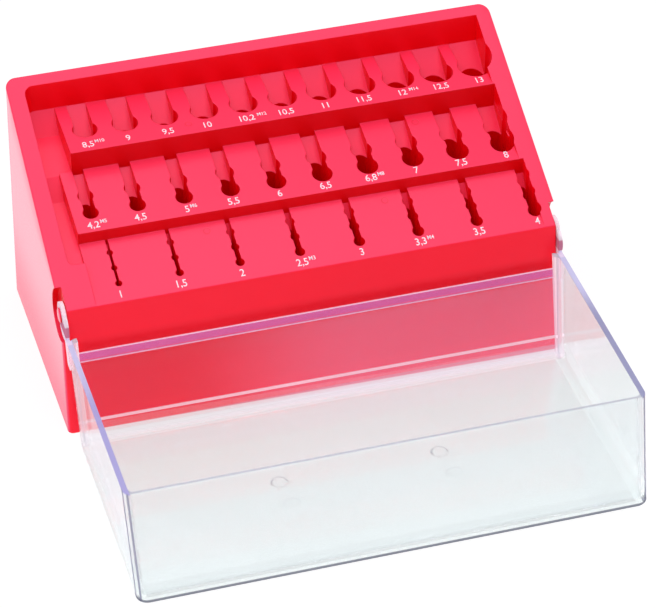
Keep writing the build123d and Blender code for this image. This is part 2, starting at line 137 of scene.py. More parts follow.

# Lid's rims, where the cut edges carry painted lilac light and the far rim a painted shade line
RIM_Z = (LID_RIM_Z - 0.0004, LID_RIM_Z - 0.0002, LID_RIM_Z + 0.0003, LID_RIM_Z + 0.0006)
SIDE_RIM_X = (LID_HALF_WIDTH - LID_WALL - 0.0003, LID_HALF_WIDTH - LID_WALL)
FAR_RIM_LINE_Y = (LID_FAR_RIM_Y + LID_WALL - 0.0014, LID_FAR_RIM_Y + LID_WALL - 0.0011)
DARK_RIM_X = (0.0, 0.05)
DARK_RIM_Y = (PIVOT.y - 0.035, PIVOT.y - 0.045)
DARK_RIM_LIGHT = (0.25, 0.25, 0.43)
PALE_RIM_Y = (LID_FAR_RIM_Y + 0.055, PIVOT.y - 0.03)
PALE_RIM_LIGHT = (0.50, 0.50, 0.74)

# Lid's corners and foot, by depth below its outer faces, with painted shade on the corners and a painted
# shadow along the foot. The calm zone beside the walls bends less light.
CORNER_DEPTH = (0.0021, 0.0016)
SIDE_EDGE_DEPTH = (0.0003, 0.0001)
FAR_EDGE_DEPTH = (0.0060, 0.0045)
CALM_DEPTH = (0.0052, 0.0044)
CALM_Z = (0.0085, 0.0070)
FOOT_DEPTH = (0.0020, 0.0014)
FOOT_TURN_DEPTH = (0.0080, 0.0050)
FOOT_Z = (0.0025, 0.0019)

# Lid's near wall, by depth below its outer face: its corners with a painted highlight and a painted shade
# line, the wall below the bevel, the painted highlight at the joint with the panel, a painted pink light that
# grows to the right, and the painted highlight line that runs across, falling slightly to the right
NEAR_CORNER_DEPTH = (0.0032, 0.0026)
NEAR_CORNER_X = (0.1088, 0.1092)
NEAR_CORNER_LINE_DEPTH = (0.0019, 0.0022, 0.0027, 0.0030)
NEAR_WALL_DEPTH = (0.0032, 0.0028)
NEAR_WALL_Z = (NEAR_WALL_BEVEL_FOOT_Z, 0.0380)
JOINT_DEPTH = (0.0022, 0.0026, 0.0038, 0.0042)
JOINT_Z = (0.0021, 0.0023, 0.0032, 0.0036)
RIGHTWARD_LIGHT_X = (-0.07, 0.02)
RIGHTWARD_LIGHT = 0.01
RIGHTWARD_LIGHT_GAIN = 0.07
HIGHLIGHT_LINE_Z = 0.0112
HIGHLIGHT_LINE_SLOPE = -0.003
HIGHLIGHT_LINE_DEPTH = (0.0018, 0.0022)
HIGHLIGHT_LINE_HALF_HEIGHT = (0.0009, 0.0006)

# Bevel of the near wall, with painted light over it, and a painted highlight line along its top and another
# along its foot
BEVEL_Z = (NEAR_WALL_BEVEL_FOOT_Z - 0.0002, NEAR_WALL_BEVEL_FOOT_Z,
           NEAR_WALL_TOP_Z + 0.0002, NEAR_WALL_TOP_Z + 0.0004)
BEVEL_X = (NEAR_WALL_HALF_WIDTH, NEAR_WALL_HALF_WIDTH - 0.0003)
BEVEL_Y = (PIVOT.y - 0.030, PIVOT.y - 0.029)
BEVEL_PAINTED_LIGHT = (0.62, 0.22, 0.58)
BEVEL_PAINTED_LIGHT_SHARE = 0.35
BEVEL_TOP_Z = (NEAR_WALL_TOP_Z - 0.0002, NEAR_WALL_TOP_Z - 0.0001)
BEVEL_TOP_SHARE = 0.85
BEVEL_FOOT_Z = (NEAR_WALL_BEVEL_FOOT_Z + 0.0005, NEAR_WALL_BEVEL_FOOT_Z + 0.0003)
BEVEL_FOOT_DEPTH = (0.0012, 0.0014)
BEVEL_FOOT_SHARE = 0.5

# Pips in the lid's panel, of which only the back half of the edge shows, as a painted shade line
PIP_RADIUS = 0.0035
PIP_X = 0.0363
PIP_Y = PIVOT.y - 0.073
PIP_RING = (PIP_RADIUS - 0.0006, PIP_RADIUS - 0.0003, PIP_RADIUS + 0.0003, PIP_RADIUS + 0.0006)
PIP_BACK = (-0.0022, 0.0010)
PANEL_TOP_Z = (0.0021, 0.0023)

# Hinge ears, with painted pale light, and a painted deep red reflection of the housing low on their edges
EAR_X = (0.1117, 0.1121)
EAR_Y = (PIVOT.y - 0.0135, PIVOT.y - 0.0125)
EAR_Z = (EAR_LOWEST_Z, EAR_LOWEST_Z + 0.001)
EAR_REFLECTION_Z = (LID_RIM_Z + 0.0008, LID_RIM_Z + 0.0011, LID_RIM_Z + 0.0060, LID_RIM_Z + 0.0068)

# Masks where the lid lets light straight through, and their shares
STRAIGHT_SHARES = (("near_wall", 0.6), ("calm", 0.6), ("ear", 0.75))

# What lies over the clear plastic, from below to above: mask, share, and colour unless it is made by itself.
# Apart from the far rim, which lets light straight through, these are painted light and shade: painted
# highlights at the near corner, joint, line, bevel edges and ears, painted shade lines at the corners, far
# rim and pips, the painted shadow at the foot, painted light on the rims, bevel and near wall, and the
# painted red reflection on the ears.
LID_VEILS = (
    ("near_corner", 0.45, (1.0, 0.95, 1.0)),
    ("near_corner_line", 0.5, (0.40, 0.38, 0.46)),
    ("side_rim", 0.9, None),
    ("far_rim", 0.8, None),
    ("far_rim_line", 0.7, (0.46, 0.47, 0.54)),
    ("far_corner", 0.8, (0.20, 0.20, 0.31)),
    ("foot", 0.85, (0.13, 0.14, 0.19)),
    ("rightward_light", 1.0, (1.0, 0.62, 0.95)),
    ("joint", 0.2, (0.85, 0.72, 0.80)),
    ("highlight_line", 0.55, (1.0, 0.85, 0.92)),
    ("pip", 0.9, (0.18, 0.18, 0.26)),
    ("bevel", 0.9, None),
    ("bevel_highlights", 1.0, (0.85, 0.62, 0.74)),
    ("ear", 0.35, (1.0, 0.80, 0.90)),
    ("ear_red_reflection", 0.75, (0.44, 0.03, 0.13)),
)

# Hinge pins
PIN_RADIUS = 0.0020
PIN_HEAD_RADIUS = 0.0034
PIN_HEAD_RIM = 0.00035
PIN_HEAD_HEIGHT = 0.0010
PIN_INNER_X = 0.1100
PIN_HEAD_X = 0.11415
PIN_STEPS = 48
DOME_STEP = 15

# Printed sizes, the thread sizes beside some of them, and the print
BACK_ROW_SIZES = ("8,5", "9", "9,5", "10", "10,2", "10,5", "11", "11,5", "12", "12,5", "13")
MIDDLE_ROW_SIZES = ("4,2", "4,5", "5", "5,5", "6", "6,5", "6,8", "7", "7,5", "8")
FRONT_ROW_SIZES = ("1", "1,5", "2", "2,5", "3", "3,3", "3,5", "4")
THREAD_SIZES = {"2,5": "M3", "3,3": "M4", "4,2": "M5", "5": "M6", "6,8": "M8", "8,5": "M10", "10,2": "M12",
                "12": "M14"}
TEXT_LIFT = 0.00003
TEXT_THICKNESS = 0.00002
TEXT_RESOLUTION = 4
CAPITAL_SHARE = 0.7
THREAD_TEXT_SHARE = 0.55
THREAD_TEXT_GAP = 0.12
THREAD_TEXT_RISE = 0.08
PRINT_COLOURS = ((0.76, 0.48, 0.58), (0.80, 0.70, 0.76))
PRINT_WEAR = (0.0, 1.6)
PRINT_ROUGHNESS = 0.45

# Floor: the sheet, what the camera sees of it, what it throws on the object, and how it looks through the
# lid, where a painted shadow of the housing darkens it towards the housing, a painted pink reflection of the
# housing tints it near the housing, and a painted red reflection of the housing lies as a wedge before the
# housing's foot
FLOOR_SIZE = 4.0
FLOOR_DROP = 0.0002
SHEET_COLOURS = ((0.86, 0.86, 0.87), (0.84, 0.84, 0.85))
SEEN_COLOUR = (1.0, 1.0, 1.0)
SEEN_STRENGTH = 1.05
SEEN_SHARE = 0.85
THROWN_COLOUR = (0.97, 0.94, 1.0)
THROWN_SHARE = 0.8
UNDER_LID_SHARE = 0.8
UNDER_LID_Y = (-0.13, 0.0)
UNDER_LID_SHADED_STRENGTH = (1.22, 0.90)
UNDER_LID_COLOURS = ((0.95, 1.0, 0.985), (0.99, 0.975, 0.985))
PINK_REFLECTION_Y = (-0.029, -0.020)
RED_REFLECTION_COLOUR = (0.85, 0.05, 0.12)
WEDGE_Y = HOUSING_FOOT_Y - 0.0012
WEDGE_SLOPE = -0.015
WEDGE_BLUR = (-0.0004, 0.0004)
WEDGE_X = (0.1130, 0.1120)

# Lights, each with its place and size, and the room
LIGHT_TARGET = (0.0, 0.0, 0.05)
KEY_LIGHT = ((-0.1, 0.1, 1.3), 1.4)
FILL_LIGHT = ((-1.1, -0.9, 0.5), 0.9)
ROOM_COLOUR = (0.96, 0.95, 1.0)

# Camera: its place, its turns in degrees and its lens
CAMERA_PLACE = (-0.31555, BACK_EDGE_Y - 1.21648, 0.91557)
CAMERA_HEADING = -16.159
CAMERA_DOWN = 37.164
CAMERA_ROLL = -0.219
CAMERA_LENS = 178.85
CAMERA_SENSOR = 36.0
CAMERA_NEAR = 0.01
CAMERA_FAR = 20.0


class PrintedRow(NamedTuple):
    """A row of printed sizes: the first one's x, their pitch, and their distance forward from the back edge,
    then the distance and height of the tread under them, at its back and at its front."""
    name: str
    sizes: tuple
    first_x: float
    pitch: float
    distance: float
    back: float
    back_z: float
    front: float
    front_z: float


PRINTED_ROWS = (
    PrintedRow("sizes_back_row", BACK_ROW_SIZES, first_x=-0.0841, pitch=0.01835, distance=0.0348,
               back=0.00570, back_z=0.098603, front=0.03920, front_z=0.095763),
    PrintedRow("sizes_middle_row", MIDDLE_ROW_SIZES, first_x=-0.0910, pitch=0.0212444, distance=0.0717,
               back=0.03920, back_z=0.086163, front=0.07550, front_z=0.077949),
    PrintedRow("sizes_front_row", FRONT_ROW_SIZES, first_x=-0.0870, pitch=0.0273714, distance=0.1040,
               back=0.07550, back_z=0.072449, front=0.10800, front_z=0.062000),
)


class HousingSettings(bpy.types.PropertyGroup):
    """Colour, painted light and shade, and finish of the red housing."""
    colour: FloatVectorProperty(
        name="Plastic colour", description="Linear colour of the red plastic",
        subtype="COLOR", size=3, min=0.0, max=1.0, default=(0.93, 0.0008, 0.006))
    # Painted shade: the darker red of the risers, also laid on the front face as the open lid's shadow
    painted_shade_colour: FloatVectorProperty(
        name="Riser colour", description="Linear colour of upright inner faces",
        subtype="COLOR", size=3, min=0.0, max=1.0, default=(0.74, 0.0006, 0.003))
    # Painted light: the brighter red of the front face, lit from the floor
    lit_front_colour: FloatVectorProperty(
        name="Front colour", description="Linear colour of the front face",
        subtype="COLOR", size=3, min=0.0, max=1.0, default=(1.0, 0.006, 0.020))
    # Painted sheen: the paler red of the upward faces
    upward_sheen: FloatVectorProperty(
        name="Bloom colour", description="Linear colour of the upward faces",
        subtype="COLOR", size=3, min=0.0, max=1.0, default=(0.93, 0.027, 0.082))
    # Painted sheen: the pinker red of the outer side faces
    side_sheen: FloatVectorProperty(
        name="Side colour", description="Linear colour of the outer side faces",
        subtype="COLOR", size=3, min=0.0, max=1.0, default=(0.93, 0.012, 0.085))
    ring_colour: FloatVectorProperty(
        name="Mark colour", description="Linear colour of the ejector marks' rings",
        subtype="COLOR", size=3, min=0.0, max=1.0, default=(0.78, 0.018, 0.05))
    roughness: FloatProperty(
        name="Roughness", description="How matt the moulded surface is",
        subtype="FACTOR", min=0.0, max=1.0, default=0.30)
    edge_radius: FloatProperty(
        name="Edge radius", description="Radius that the moulded edges look rounded by",
        subtype="DISTANCE", min=0.0, max=0.002, default=0.0005)


class LidSettings(bpy.types.PropertyGroup):
    """Plastic of the clear lid, and the painted light of its cut edges."""
    tint: FloatVectorProperty(
        name="Plastic tint", description="Linear colour of the clear plastic",
        subtype="COLOR", size=3, min=0.0, max=1.0, default=(0.955, 0.968, 0.972))
    plainness: FloatProperty(
        name="Plainness", description="Share of light that goes straight through the walls",
        subtype="FACTOR", min=0.0, max=1.0, default=0.6)
    # Painted light: the lilac that the cut edges carry
    rim_light: FloatVectorProperty(
        name="Rim colour", description="Linear colour that the cut edges glow with",
        subtype="COLOR", size=3, min=0.0, max=1.0, default=(0.33, 0.30, 0.60))


class PrintSettings(bpy.types.PropertyGroup):
    """Printed drill sizes."""
    height: FloatProperty(
        name="Digit height", description="Height of the printed digits",
        subtype="DISTANCE", min=0.001, max=0.01, default=0.0038)
    width_share: FloatProperty(
        name="Digit width", description="Width of the digits against the plain font",
        subtype="FACTOR", min=0.3, max=1.5, default=0.85)
    boldness: FloatProperty(
        name="Boldness", description="How far each stroke is thickened on both sides",
        subtype="DISTANCE", min=0.0, max=0.001, default=0.00004)


class StageSettings(bpy.types.PropertyGroup):
    """Power of the lights, the room and the floor."""
    key_power: FloatProperty(
        name="Key light", description="Power of the large overhead light",
        subtype="POWER", min=0.0, max=200.0, default=14.0)
    fill_power: FloatProperty(
        name="Fill light", description="Power of the light at the front left",
        subtype="POWER", min=0.0, max=200.0, default=2.0)
    world_strength: FloatProperty(
        name="Room light", description="Strength of the light from all round",
        min=0.0, max=5.0, default=0.55)
    floor_glow: FloatProperty(
        name="Floor brightness", description="How bright the sheet is to the object",
        min=0.0, max=5.0, default=1.3)


class Graph:
    """A material and its node tree, with short calls to add and join nodes."""

    def __init__(self, name):
        self.material = bpy.data.materials.new(name)
        self.material.use_nodes = True
        self.tree = self.material.node_tree
        self.tree.nodes.clear()
        self.place = self.node("TexCoord").outputs["Object"]

    def node(self, kind, settings=None, **inputs):
        """Adds a node; its inputs are named with an underscore for each space."""
        node = self.tree.nodes.new("ShaderNode" + kind)
        for key, value in (settings or {}).items():
            setattr(node, key, value)
        for key, value in inputs.items():
            self.put(node.inputs[key.replace("_", " ")], value)
        return node

    def put(self, socket, value):
        """Links a socket or sets its value, and gives a colour its alpha."""
        if isinstance(value, bpy.types.NodeSocket):
            self.tree.links.new(value, socket)
        elif socket.type == "RGBA":
            socket.default_value = (*value, 1.0)
        else:
            socket.default_value = value

    def math(self, operation, first, second=0.0, third=0.0, clamp=False):
        node = self.node("Math", {"operation": operation, "use_clamp": clamp})
        for socket, value in zip(node.inputs, (first, second, third)):
            self.put(socket, value)
        return node.outputs["Value"]

    def product(self, *values):
        result = values[0]
        for value in values[1:]:
            result = self.math("MULTIPLY", result, value)
        return result

    def step(self, value, low, high):
        """Zero below low, one above high and smooth between them; low may be the larger one."""
        node = self.node("MapRange", {"interpolation_type": "SMOOTHSTEP"}, Value=value)
        node.inputs["From Min"].default_value = low
        node.inputs["From Max"].default_value = high
        return node.outputs["Result"]

    def band(self, value, starts, full_from, full_to, ends):
        """One from full_from to full_to, and zero before starts and after ends."""
        return self.product(self.step(value, starts, full_from), self.step(value, ends, full_to))

    def ramp(self, value, source, target):
        """Carries one range over to another in a straight line, and stops at its ends."""
        node = self.node("MapRange", Value=value)
        for key, number in zip(("From Min", "From Max", "To Min", "To Max"), (*source, *target)):
            node.inputs[key].default_value = number
        return node.outputs["Result"]

    def spread(self, value, low, high):
        """Turns a texture's usual spread into a range."""
        return self.ramp(value, NOISE_SPREAD, (low, high))

    def highest(self, *values):
        result = values[0]
        for value in values[1:]:
            result = self.math("MAXIMUM", result, value)
        return result

    def away(self, x, y, centre_x, centre_y):
        """Distance from an upright line."""
        across = self.math("SUBTRACT", x, centre_x)
        along = self.math("SUBTRACT", y, centre_y)
        return self.math("SQRT", self.math("ADD", self.product(across, across), self.product(along, along)))

    def noise(self, scale, detail):
        return self.node("TexNoise", Vector=self.place, Scale=scale, Detail=detail).outputs["Fac"]

    def axes(self):
        return self.node("SeparateXYZ", Vector=self.place).outputs

    def mix(self, share, first, second):
        node = self.node("MixShader")
        self.put(node.inputs[0], share)
        self.put(node.inputs[1], first)
        self.put(node.inputs[2], second)
        return node.outputs["Shader"]

    def blend(self, share, first, second):
        node = self.node("MixRGB", Fac=share, Color1=first, Color2=second)
        return node.outputs["Color"]

    def matt(self, colour):
        return self.node("BsdfDiffuse", Color=colour).outputs["BSDF"]

    def bump(self, height, distance, strength, normal=None):
        node = self.node("Bump", Height=height, Distance=distance, Strength=strength)
        if normal:
            self.put(node.inputs["Normal"], normal)
        return node.outputs["Normal"]

    def clear(self, colour):
        return self.node("BsdfTransparent", Color=colour).outputs["BSDF"]

    def glow(self, colour, strength):
        return self.node("Emission", Color=colour, Strength=strength).outputs["Emission"]

    def finish(self, surface):
        output = self.node("OutputMaterial")
        self.put(output.inputs["Surface"], surface)
        return self.material


def plastic_material(name, settings, marks=()):
    """Moulded plastic with painted shade on the risers and under the open lid, painted light on the front
    face, painted sheen on upward and outer side faces, fine grain, rounded edges and ejector marks.
    """
    graph = Graph(name)
    x, y, z = graph.axes()
    flow = graph.noise(*FLOW_NOISE)
    grain = graph.noise(*GRAIN_NOISE)
    rounded = graph.node("Bevel", {"samples": EDGE_SAMPLES}, Radius=settings.edge_radius).outputs["Normal"]
    facing = graph.node("SeparateXYZ", Vector=rounded).outputs
    upward = graph.step(facing["Z"], *FACING_UP)
    outer = graph.product(graph.step(graph.math("ABSOLUTE", x), *OUTER_SIDE_X),
                          graph.step(graph.math("ABSOLUTE", facing["X"]), *FACING_SIDE))
    riser = graph.product(graph.band(y, *RISER_Y), graph.step(facing["Y"], *FACING_FRONT))
    shaded = graph.product(graph.step(y, *SHADED_FACE_Y), graph.band(z, *SHADE_Z), SHADE_SHARE)

    # Painted shade on the risers and as the open lid's shadow, painted light on the front face, painted sheen
    # on the upward and outer side faces
    tone = graph.blend(riser, settings.colour, settings.painted_shade_colour)
    tone = graph.blend(graph.step(y, *FRONT_FACE_Y), tone, settings.lit_front_colour)
    tone = graph.blend(shaded, tone, settings.painted_shade_colour)
    tone = graph.blend(upward, tone, settings.upward_sheen)
    tone = graph.blend(outer, tone, settings.side_sheen)
    deeper = graph.node("HueSaturation", Value=DEEPER_SHADE, Color=tone).outputs["Color"]
    tone = graph.blend(graph.spread(flow, 0.0, 1.0), tone, deeper)

    normal = graph.bump(grain, GRAIN_HEIGHT, GRAIN_STRENGTH, rounded)
    for mark_x, distance in marks:
        away = graph.away(x, y, mark_x, BACK_EDGE_Y - distance)
        disc = graph.step(away, *EJECTOR_DISC)
        ring = graph.product(disc, graph.step(away, *EJECTOR_RING), upward)
        tone = graph.blend(ring, tone, settings.ring_colour)
        normal = graph.bump(disc, -EJECTOR_DEPTH, 1.0, normal)

    rough = graph.spread(grain, *(settings.roughness + more for more in ROUGHNESS_SPREAD))
    gloss = graph.math("MULTIPLY_ADD", graph.step(z, *SIDE_GLOSS_Z), SIDE_GLOSS_GAIN, SIDE_GLOSS)
    level = graph.math("MULTIPLY_ADD", outer, SIDE_SPECULAR_GAIN, SPECULAR_LEVEL)
    shader = graph.node("BsdfPrincipled", IOR=PLASTIC_IOR, Base_Color=tone, Roughness=rough, Normal=normal,
                        Specular_Tint=SPECULAR_TINT, Specular_IOR_Level=level,
                        Coat_Weight=graph.product(outer, gloss), Coat_Roughness=COAT_ROUGHNESS)
    return graph.finish(shader.outputs["BSDF"])


def lid_masks(graph):
    """Masks of the open lid's rims, corners, foot, near wall, pips and ears, by name, most of them for
    painted light and shade.
    """
    x, y, z = graph.axes()
    side = graph.math("ABSOLUTE", x)
    up = graph.math("DIVIDE", z, LID_RIM_Z)
    side_face = graph.math("MULTIPLY_ADD", up, LID_SIDE_DRAFT, LID_HALF_WIDTH - LID_SIDE_DRAFT)
    far_face = graph.math("MULTIPLY_ADD", up, LID_FAR_LEAN, LID_FAR_FOOT_Y)
    near_face = graph.math("MULTIPLY_ADD", up, LID_NEAR_LEAN, LID_NEAR_FOOT_Y)
    from_side = graph.math("SUBTRACT", side_face, side)
    from_far = graph.math("SUBTRACT", y, far_face)
    from_near = graph.math("SUBTRACT", near_face, y)
    masks = {}

    # Rims of the side walls with painted lilac light, and the paler rim of the far wall with a painted shade
    # line at its inner edge
    level = graph.band(z, *RIM_Z)
    beside = graph.step(side, *SIDE_RIM_X)
    masks["side_rim"] = graph.product(level, beside)
    masks["far_rim"] = graph.product(level, graph.math("SUBTRACT", 1.0, beside))
    masks["far_rim_line"] = graph.product(masks["far_rim"], graph.step(y, *FAR_RIM_LINE_Y))

    # Painted shade on the rounded corners and painted shadow along the foot, where the eye looks along the
    # wall
    turn = graph.product(graph.step(from_side, *CORNER_DEPTH), graph.step(from_far, *CORNER_DEPTH))
    edge = graph.product(graph.step(from_side, *SIDE_EDGE_DEPTH), graph.step(from_far, *FAR_EDGE_DEPTH))
    masks["far_corner"] = graph.highest(turn, edge)
    beside_wall = graph.highest(graph.step(from_side, *CALM_DEPTH), graph.step(from_far, *CALM_DEPTH))
    masks["calm"] = graph.product(beside_wall, graph.step(z, *CALM_Z))
    foot_turn = graph.product(graph.step(from_side, *FOOT_DEPTH), graph.step(from_far, *FOOT_TURN_DEPTH))
    foot = graph.highest(graph.step(from_far, *FOOT_DEPTH), foot_turn)
    masks["foot"] = graph.product(foot, graph.step(z, *FOOT_Z))

    # Near wall, with painted highlights, a painted shade line and painted pink light
    near_corner = graph.product(graph.step(from_near, *NEAR_CORNER_DEPTH), graph.step(side, *NEAR_CORNER_X))
    masks["near_corner"] = near_corner
    masks["near_corner_line"] = graph.product(near_corner, graph.band(from_side, *NEAR_CORNER_LINE_DEPTH))
    wall = graph.product(graph.step(from_near, *NEAR_WALL_DEPTH), graph.step(z, *NEAR_WALL_Z))
    masks["near_wall"] = wall
    masks["joint"] = graph.product(graph.band(from_near, *JOINT_DEPTH), graph.band(z, *JOINT_Z))
    rightward_light = graph.math("MULTIPLY_ADD", graph.step(x, *RIGHTWARD_LIGHT_X), RIGHTWARD_LIGHT_GAIN, RIGHTWARD_LIGHT)
    masks["rightward_light"] = graph.product(wall, rightward_light)
    line_z = graph.math("MULTIPLY_ADD", x, HIGHLIGHT_LINE_SLOPE, HIGHLIGHT_LINE_Z)
    off_line = graph.math("ABSOLUTE", graph.math("SUBTRACT", z, line_z))
    masks["highlight_line"] = graph.product(wall, graph.step(from_near, *HIGHLIGHT_LINE_DEPTH),
                                        graph.step(off_line, *HIGHLIGHT_LINE_HALF_HEIGHT))

    # Bevel of the near wall, with its painted light and painted highlight lines
    bevel = graph.product(graph.band(z, *BEVEL_Z), graph.step(side, *BEVEL_X), graph.step(y, *BEVEL_Y))
    top_highlight = graph.product(bevel, graph.step(z, *BEVEL_TOP_Z), BEVEL_TOP_SHARE)
    foot_highlight = graph.product(bevel, graph.step(z, *BEVEL_FOOT_Z), graph.step(from_near, *BEVEL_FOOT_DEPTH),
                              BEVEL_FOOT_SHARE)
    masks["bevel"] = bevel
    masks["bevel_highlights"] = graph.highest(top_highlight, foot_highlight)

    # Painted shade on the pips' edges, and painted light and red reflection on the hinge ears
    ring = graph.band(graph.away(side, y, PIP_X, PIP_Y), *PIP_RING)
    back = graph.step(graph.math("SUBTRACT", y, PIP_Y), *PIP_BACK)
    masks["pip"] = graph.product(ring, graph.step(z, *PANEL_TOP_Z), back)
    ear = graph.product(graph.step(y, *EAR_Y), graph.step(side, *EAR_X), graph.step(z, *EAR_Z))
    masks["ear"] = ear
    masks["ear_red_reflection"] = graph.product(ear, graph.band(z, *EAR_REFLECTION_Z))
    return masks


def painted_rim_light(graph, settings):
    """Painted lilac light on the cut edges of the side walls, darker on the right away from the hinge, and
    paler near it.
    """
    x, y, _ = graph.axes()
    darker = graph.product(graph.step(x, *DARK_RIM_X), graph.step(y, *DARK_RIM_Y))
    lilac = graph.blend(darker, settings.rim_light, DARK_RIM_LIGHT)
    return graph.matt(graph.blend(graph.step(y, *PALE_RIM_Y), lilac, PALE_RIM_LIGHT))


def clear_material(settings):
    """Clear moulded plastic, with painted light and shade laid over it at its cut edges, corners and lines.
    """
    graph = Graph("clear_plastic")
    masks = lid_masks(graph)
    scuffs = graph.product(graph.step(graph.noise(*SCUFF_NOISE), *SCUFFS), SCUFF_ROUGHNESS)
    glass = graph.node("BsdfPrincipled", IOR=CLEAR_IOR, Base_Color=settings.tint, Roughness=scuffs,
                       Transmission_Weight=1.0)
    straight = graph.clear(settings.tint)
    sheet = graph.mix(settings.plainness, glass.outputs["BSDF"], straight)
    plain = graph.highest(*(graph.product(masks[name], share) for name, share in STRAIGHT_SHARES))
    surface = graph.mix(plain, sheet, straight)

    made = {
        "side_rim": painted_rim_light(graph, settings),
        "far_rim": straight,
        "bevel": graph.mix(BEVEL_PAINTED_LIGHT_SHARE, straight, graph.matt(BEVEL_PAINTED_LIGHT)),
    }
    for name, share, colour in LID_VEILS:
        veil = made[name] if colour is None else graph.matt(colour)
        surface = graph.mix(graph.product(masks[name], share), surface, veil)

    shadow = graph.node("LightPath").outputs["Is Shadow Ray"]
    return graph.finish(graph.mix(shadow, surface, graph.clear(SHADOW_TINT)))


def print_material():
    """White hot-foil print, a little worn."""
    graph = Graph("white_print")
    shade = graph.blend(graph.spread(graph.noise(*WEAR_NOISE), *PRINT_WEAR), *PRINT_COLOURS)
    shader = graph.node("BsdfPrincipled", Base_Color=shade, Roughness=PRINT_ROUGHNESS)
    return graph.finish(shader.outputs["BSDF"])


def floor_material(glow_strength):
    """White sheet that reads as a white background and throws light back up at the object, with a painted
    shadow and painted reflections of the housing where it is seen through the lid.
    """
    graph = Graph("white_sheet")
    x, y, _ = graph.axes()
    sheet = graph.matt(graph.blend(graph.spread(graph.noise(*FIBRE_NOISE), 0.0, 1.0), *SHEET_COLOURS))
    seen = graph.glow(SEEN_COLOUR, SEEN_STRENGTH)
    thrown = graph.glow(THROWN_COLOUR, glow_strength)

    # Through the lid: painted shadow of the housing, painted pink reflection near it, and the painted red
    # reflection wedge before its foot
    wedge = graph.math("MULTIPLY_ADD", x, WEDGE_SLOPE, WEDGE_Y)
    red = graph.product(graph.step(graph.math("SUBTRACT", y, wedge), *WEDGE_BLUR),
                        graph.step(graph.math("ABSOLUTE", x), *WEDGE_X))
    tone = graph.blend(red, graph.blend(graph.step(y, *PINK_REFLECTION_Y), *UNDER_LID_COLOURS), RED_REFLECTION_COLOUR)
    under = graph.glow(tone, graph.ramp(y, UNDER_LID_Y, UNDER_LID_SHADED_STRENGTH))

    # Rays come straight from the camera, from it through the lid, or any other way
    path = graph.node("LightPath").outputs
    through = graph.math("MINIMUM", path["Transparent Depth"], 1.0)
    bare = graph.product(path["Is Camera Ray"], graph.math("SUBTRACT", 1.0, through))
    past_lid = graph.highest(graph.product(path["Is Camera Ray"], through), path["Is Transmission Ray"])
    other = graph.math("SUBTRACT", 1.0, graph.math("ADD", bare, past_lid, clamp=True))
    surface = graph.mix(graph.product(bare, SEEN_SHARE), sheet, seen)
    surface = graph.mix(graph.product(past_lid, UNDER_LID_SHARE), surface, under)
    return graph.finish(graph.mix(graph.product(other, THROWN_SHARE), surface, thrown))


def dress_node(node, material):
    mesh = frame["nodes"][node].data
    mesh.materials.clear()
    mesh.materials.append(material)


def new_piece(name, mesh, material, body):
    piece = bpy.data.objects.new(name, mesh)
    bpy.context.scene.collection.objects.link(piece)
    mesh.materials.clear()
    mesh.materials.append(material)
    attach(piece, body)
    return piece


def welded_copy(node):
    """Scratch object with a node's mesh, its loose triangles joined."""
    mesh = frame["nodes"][node].data.copy()
    solid = bmesh.new()
    solid.from_mesh(mesh)
    bmesh.ops.remove_doubles(solid, verts=solid.verts, dist=WELD_DISTANCE)
    solid.to_mesh(mesh)
    solid.free()
    copy = bpy.data.objects.new(node + "_copy", mesh)
    bpy.context.scene.collection.objects.link(copy)
    return copy


def crease_edges(mesh):
    """Shades the mesh smooth, and sharp along every edge that turns by more than CREASE_ANGLE."""
    solid = bmesh.new()
    solid.from_mesh(mesh)
    for face in solid.faces:
        face.smooth = True
    for edge in solid.edges:
        edge.smooth = edge.is_manifold and edge.calc_face_angle() < CREASE_ANGLE
    solid.to_mesh(mesh)
    solid.free()


def union_mesh(nodes, name):
    """One mesh of several touching nodes, with no wall left where they meet."""
    whole, *others = [welded_copy(node) for node in nodes]
    for other in others:
        union = whole.modifiers.new(other.name, "BOOLEAN")
        union.operation = "UNION"
        union.solver = "EXACT"
        union.object = other
    bpy.context.view_layer.update()
    seen = whole.evaluated_get(bpy.context.evaluated_depsgraph_get())
    mesh = bpy.data.meshes.new_from_object(seen)
    mesh.name = name
    crease_edges(mesh)
    for scratch in (whole, *others):
        bpy.data.objects.remove(scratch)
    if not mesh.polygons:
        raise RuntimeError("the housing's nodes didn't join")
    return mesh


def pin_mesh(name, side):
    """Turned pin with a low domed head, on the right for side 1 and on the left for side -1."""
    dome = [(0.0, PIN_HEAD_X + PIN_HEAD_HEIGHT)]
    for degrees in range(DOME_STEP, 91, DOME_STEP):
        angle = math.radians(degrees)
        rise = (PIN_HEAD_HEIGHT - PIN_HEAD_RIM) * math.cos(angle)
        dome.append((PIN_HEAD_RADIUS * math.sin(angle), PIN_HEAD_X + PIN_HEAD_RIM + rise))
    outline = dome + [(PIN_HEAD_RADIUS, PIN_HEAD_X), (PIN_RADIUS, PIN_HEAD_X), (PIN_RADIUS, PIN_INNER_X),
                      (0.0, PIN_INNER_X)]
    solid = bmesh.new()
    points = [solid.verts.new((x * side, PIVOT.y, PIVOT.z + radius)) for radius, x in outline]
    edges = [solid.edges.new(pair) for pair in zip(points, points[1:])]
    bmesh.ops.spin(solid, geom=points + edges, cent=PIVOT, axis=(1.0, 0.0, 0.0), angle=math.tau,
                   steps=PIN_STEPS, use_merge=True, use_normal_flip=False, use_duplicate=False)
    bmesh.ops.remove_doubles(solid, verts=solid.verts, dist=WELD_DISTANCE)
    bmesh.ops.recalc_face_normals(solid, faces=solid.faces)
    mesh = bpy.data.meshes.new(name)
    solid.to_mesh(mesh)
    solid.free()
    return mesh


